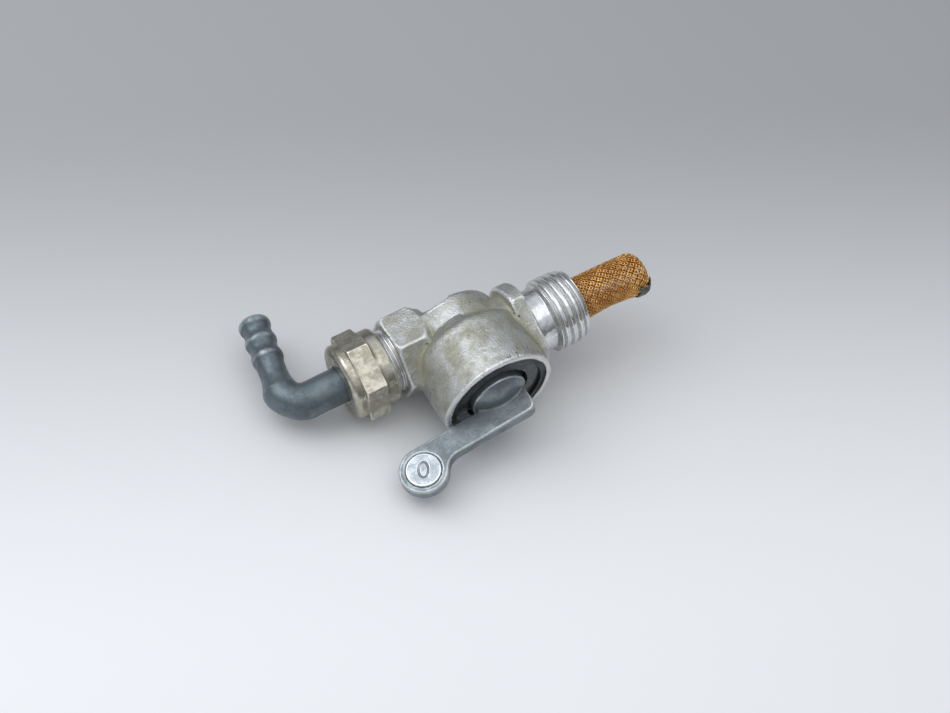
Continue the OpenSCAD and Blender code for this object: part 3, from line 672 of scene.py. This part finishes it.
curve = bpy.data.curves.new("gauzeWires", "CURVE")
curve.dimensions = "3D"
curve.bevel_depth = gauze["wireR"]
curve.bevel_resolution = 1
for family in (1, -1):
    for index in range(gauze["wires"]):
        line = gauzeLine(family, index)
        spline = curve.splines.new("POLY")
        spline.points.add(len(line) - 1)
        spline.points.foreach_set("co", [c for p in line for c in (*p, 1)])
wires = bpy.data.objects.new("gauzeWires", curve)
bpy.context.scene.collection.objects.link(wires)
graph = bpy.context.evaluated_depsgraph_get()
wireMesh = bpy.data.meshes.new_from_object(wires.evaluated_get(graph))
bpy.data.objects.remove(wires)
gauzeWires = bpy.data.objects.new("wovenGauze", wireMesh)
bpy.context.scene.collection.objects.link(gauzeWires)
dress(gauzeWires, "body", bronzeWire, "gauze_bronze", "strainer_gauze")

# solder
smear = {"voxel": 0.1, "rounds": 4, "waves": [(0.9, 0.12, 3.3), (0.35, 0.05, 6.1)], "masks": (10, 0.08)}
solder = newPiece(nodeInMillimetres("strainer_solder"), "solderSmear")
voxelSkin(solder, smear["voxel"])
relax(solder, smear["rounds"])
dent(solder, smear["waves"])
writePoints(solder.data, np.array([gauzeBend(Vector(p)) for p in readPoints(solder.data)]))
storeMasks(solder, *smear["masks"])
dress(solder, "body", darkSolder, "solder", "strainer_solder")

# nodes that keep their own shape
keptNodes = {"cover_plate": darkSteel, "retaining_ring": blackRing, "spring_washer": springSteel,
             "seal_disc": sealRubber, "elbow_gasket": gasketFibre, "strainer_ferrule": ferruleBrass}
for nodeName, material in keptNodes.items():
    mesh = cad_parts[nodeName].data
    mesh.materials.clear()
    mesh.materials.append(material)
print("kept nodes dressed")

# floor, light and camera
# near is the floor's lit colour and far is painted shade, blended along towards between fadeStart and
# fadeEnd
floorLooks = {"tilt": 7.6, "below": 10.9, "size": 1200, "roughness": 0.55, "shine": 0.3,
              "towards": (0.32, 0.77), "fadeStart": -0.05, "fadeEnd": 0.058,
              "near": (0.92, 0.925, 0.935), "far": (0.40, 0.405, 0.415)}
tilt = math.radians(floorLooks["tilt"])
floorUp = Vector((math.sin(tilt), 0, math.cos(tilt)))
underDrum = Vector((drumX, 0, 0)) - floorUp * floorLooks["below"]
bm = bmesh.new()
bmesh.ops.create_grid(bm, x_segments=8, y_segments=8, size=floorLooks["size"])
leant = floorUp.to_track_quat("Z", "Y").to_matrix().to_4x4()
bmesh.ops.transform(bm, matrix=Matrix.Translation(underDrum) @ leant, verts=bm.verts)
floor = newPiece(bm, "floor")
floor.data.transform(Matrix.Scale(toMetres, 4))
floorPaint, tree, shader, place = startMaterial("floorPaint", 0.0, floorLooks["roughness"])
shader.inputs["Specular IOR Level"].default_value = floorLooks["shine"]
# painted shade: the sheet's colour darkens away from the viewer, standing in for the light falling off
# across the floor
separate = addNode(tree, "SeparateXYZ")
tree.links.new(place, separate.inputs[0])
far = mathNode(tree, "ADD", mathNode(tree, "MULTIPLY", separate.outputs["X"], floorLooks["towards"][0]),
               mathNode(tree, "MULTIPLY", separate.outputs["Y"], floorLooks["towards"][1]))
shade = rangeNode(tree, far, floorLooks["fadeStart"], floorLooks["fadeEnd"])
tree.links.new(mixColour(tree, shade, floorLooks["near"], floorLooks["far"]), shader.inputs["Base Color"])
floor.data.materials.append(floorPaint)

room = {"lowAt": 0.05, "highAt": 0.80, "low": (0.11, 0.105, 0.09), "high": (0.90, 0.94, 1.0),
        "strength": 0.80}
world = bpy.data.worlds.new("softRoom")
bpy.context.scene.world = world
world.use_nodes = True
tree = world.node_tree
background = tree.nodes["Background"]
skyDirection = addNode(tree, "SeparateXYZ")
tree.links.new(addNode(tree, "TexCoord").outputs["Generated"], skyDirection.inputs[0])
skyHeight = rangeNode(tree, skyDirection.outputs["Z"], room["lowAt"], room["highAt"])
tree.links.new(mixColour(tree, skyHeight, room["low"], room["high"]), background.inputs["Color"])
background.inputs["Strength"].default_value = room["strength"]

lampPlaces = [  # name, place in mm, aim, size in mm, watts, colour
    ("windowLight", (-150, 140, 300), (-10, 0, 0), 320, 0.42, (0.95, 0.97, 1.0)),
    ("ceilingLight", (60, -60, 420), (-10, 0, 0), 400, 0.30, (1.0, 0.98, 0.94)),
]
for name, spot, aim, size, watts, colour in lampPlaces:
    lamp = bpy.data.lights.new(name, "AREA")
    lamp.shape = "DISK"
    lamp.size = size * toMetres
    lamp.energy = watts
    lamp.color = colour
    lampObject = bpy.data.objects.new(name, lamp)
    lampObject.location = Vector(spot) * toMetres
    towards = Vector(aim) - Vector(spot)
    lampObject.rotation_euler = towards.to_track_quat("-Z", "Y").to_euler()
    bpy.context.scene.collection.objects.link(lampObject)

cameraView = {"place": (-92.413, -133.279, 244.506), "right": (0.86368, -0.50402, 0.00339),
              "up": (0.42536, 0.73247, 0.53156), "back": (-0.27040, -0.45766, 0.84701), "lens": 60.63}
camera = bpy.data.objects.new("camera", bpy.data.cameras.new("camera"))
camera.data.sensor_width = 36
camera.data.lens = cameraView["lens"]
camera.data.clip_start = 0.01
turned = Matrix((cameraView["right"], cameraView["up"], cameraView["back"])).transposed().to_4x4()
camera.matrix_world = Matrix.Translation(Vector(cameraView["place"]) * toMetres) @ turned
bpy.context.scene.collection.objects.link(camera)
bpy.context.scene.camera = camera
bpy.context.scene.view_settings.view_transform = "Standard"
print("floor, lights and camera placed")
